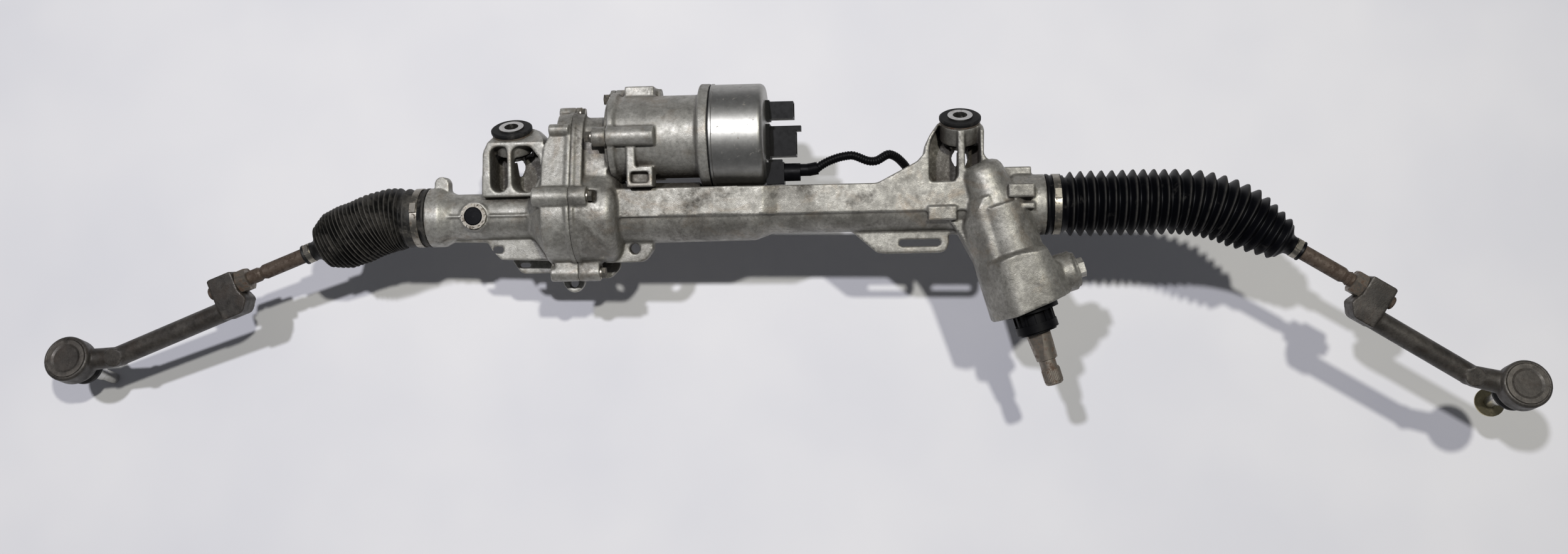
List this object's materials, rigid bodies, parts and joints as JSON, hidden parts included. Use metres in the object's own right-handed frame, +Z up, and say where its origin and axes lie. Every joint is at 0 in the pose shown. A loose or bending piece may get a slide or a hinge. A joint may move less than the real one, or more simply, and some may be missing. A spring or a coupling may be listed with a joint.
{
  "type": "electric power steering rack",
  "caption": "Belt-driven electric rack and pinion steering gear with ball screw, gaiters, tie rods and ball-jointed rod ends.",
  "frame": {"origin": "centre of the left mounting bush's bolt bore", "axes": "+X along the rack bar towards the pinion tower, +Z up along the mounting bolts, +Y towards the vehicle side that the bolts stand on, away from the pinion shaft"},
  "size_m": [1.527, 0.2108, 0.3572],
  "materials": {
    "cast_aluminium": "die-cast, matt, weathered",
    "bush_steel": "turned, light surface rust",
    "bush_rubber": "moulded, satin",
    "zinc_steel": "zinc plated",
    "black_plastic": "moulded, satin",
    "black_screw": "black oxide",
    "steel_can": "dull coated sheet steel",
    "circuit_board": "solder mask",
    "motor_copper": "enamelled windings",
    "dark_steel": "ground and oiled",
    "bright_steel": "ground",
    "belt_rubber": "matt",
    "slide_polymer": "satin",
    "forged_steel": "forged, worn black phosphate",
    "rusty_steel": "rolled, brown surface rust",
    "gaiter_rubber": "moulded thermoplastic, satin",
    "port_black": "satin"
  },
  "bodies": {
    "housing": {"rack_housing": "cast_aluminium", "drive_housing": "cast_aluminium", "bush_sleeves": "bush_steel", "bush_rubbers": "bush_rubber", "bush_shells": "bush_steel", "port_ring": "zinc_steel", "port_cap": "port_black", "housing_screws": "zinc_steel", "motor_housing": "cast_aluminium", "motor_screws": "black_screw", "control_unit": "circuit_board", "ecu_cover": "steel_can", "ecu_seal": "bush_rubber", "power_connector": "black_plastic", "signal_connector": "black_plastic", "conduit_plug": "black_plastic", "sensor_conduit": "black_plastic", "sensor_plug": "black_plastic", "stator": "motor_copper", "motor_bearings": "bright_steel", "toothed_belt": "belt_rubber", "nut_bearing": "bright_steel", "bearing_lock_ring": "dark_steel", "pinion_bearings": "bright_steel", "torque_sensor": "black_plastic", "dust_cap": "black_plastic", "tower_plug": "slide_polymer", "yoke": "bright_steel", "yoke_spring": "dark_steel", "yoke_nut": "zinc_steel", "rack_bushes": "slide_polymer", "gaiter_left": "gaiter_rubber", "gaiter_right": "gaiter_rubber", "gaiter_clamps_large": "zinc_steel"},
    "motor_shaft": {"rotor": "dark_steel", "drive_pulley": "dark_steel"},
    "screw_nut": {"ball_nut": "dark_steel", "nut_pulley": "dark_steel"},
    "rack": {"rack_bar": "bright_steel", "rack_joint_left": "dark_steel", "rack_joint_right": "dark_steel"},
    "input": {"pinion_shaft": "bright_steel", "input_shaft": "bright_steel", "torsion_bar": "dark_steel", "sensor_rotor": "dark_steel"},
    "left_rod": {"tie_rod_left": "rusty_steel", "jam_nut_left": "rusty_steel", "rod_end_left": "forged_steel", "stud_boot_left": "bush_rubber", "end_cap_left": "forged_steel", "small_clamp_left": "zinc_steel"},
    "right_rod": {"tie_rod_right": "rusty_steel", "jam_nut_right": "rusty_steel", "rod_end_right": "forged_steel", "stud_boot_right": "bush_rubber", "end_cap_right": "forged_steel", "small_clamp_right": "zinc_steel"},
    "left_stud": {"ball_stud_left": "bright_steel"},
    "right_stud": {"ball_stud_right": "bright_steel", "stud_nut_right": "zinc_steel"}
  },
  "joints": [
    {"name": "rack_slide", "type": "slide", "parent": "housing", "child": "rack", "axis": [1, 0, 0], "range_m": [-0.132, 0], "deforming": ["gaiter_left", "gaiter_right"]},
    {"name": "motor_spin", "type": "hinge", "parent": "housing", "child": "motor_shaft", "pos_m": [0.15, -0.00096, 0.00168], "axis": [1, 0, 0], "range_deg": [-17460.3, 0]},
    {"name": "nut_spin", "type": "hinge", "parent": "housing", "child": "screw_nut", "pos_m": [0.074, -0.036, -0.067], "axis": [1, 0, 0], "range_deg": [-6789, 0]},
    {"name": "input_spin", "type": "hinge", "parent": "housing", "child": "input", "pos_m": [0.492, -0.04965, -0.05912], "axis": [0.284, -0.4794, -0.8304], "range_deg": [-906.5, 0]},
    {"name": "left_rod_swing", "type": "hinge", "parent": "rack", "child": "left_rod", "pos_m": [-0.131, -0.036, -0.067], "axis": [0, -0.866, 0.5], "range_deg": [-52.5, 10.5]},
    {"name": "right_rod_swing", "type": "hinge", "parent": "rack", "child": "right_rod", "pos_m": [0.706, -0.036, -0.067], "axis": [0, -0.866, 0.5], "range_deg": [0, 63]},
    {"name": "left_stud_spin", "type": "hinge", "parent": "left_rod", "child": "left_stud", "pos_m": [-0.478, -0.10862, -0.19078], "axis": [0, 0.6691, -0.7431], "range_deg": [-45, 45]},
    {"name": "right_stud_spin", "type": "hinge", "parent": "right_rod", "child": "right_stud", "pos_m": [1.001, -0.13187, -0.23105], "axis": [0, 0.6691, -0.7431], "range_deg": [-45, 45]}
  ],
  "couplings": [
    {"joint": "motor_spin", "follows": "rack_slide", "rad_per_m": 2308.1},
    {"joint": "nut_spin", "follows": "rack_slide", "rad_per_m": 897.6},
    {"joint": "input_spin", "follows": "rack_slide", "rad_per_m": 119.85}
  ]
}
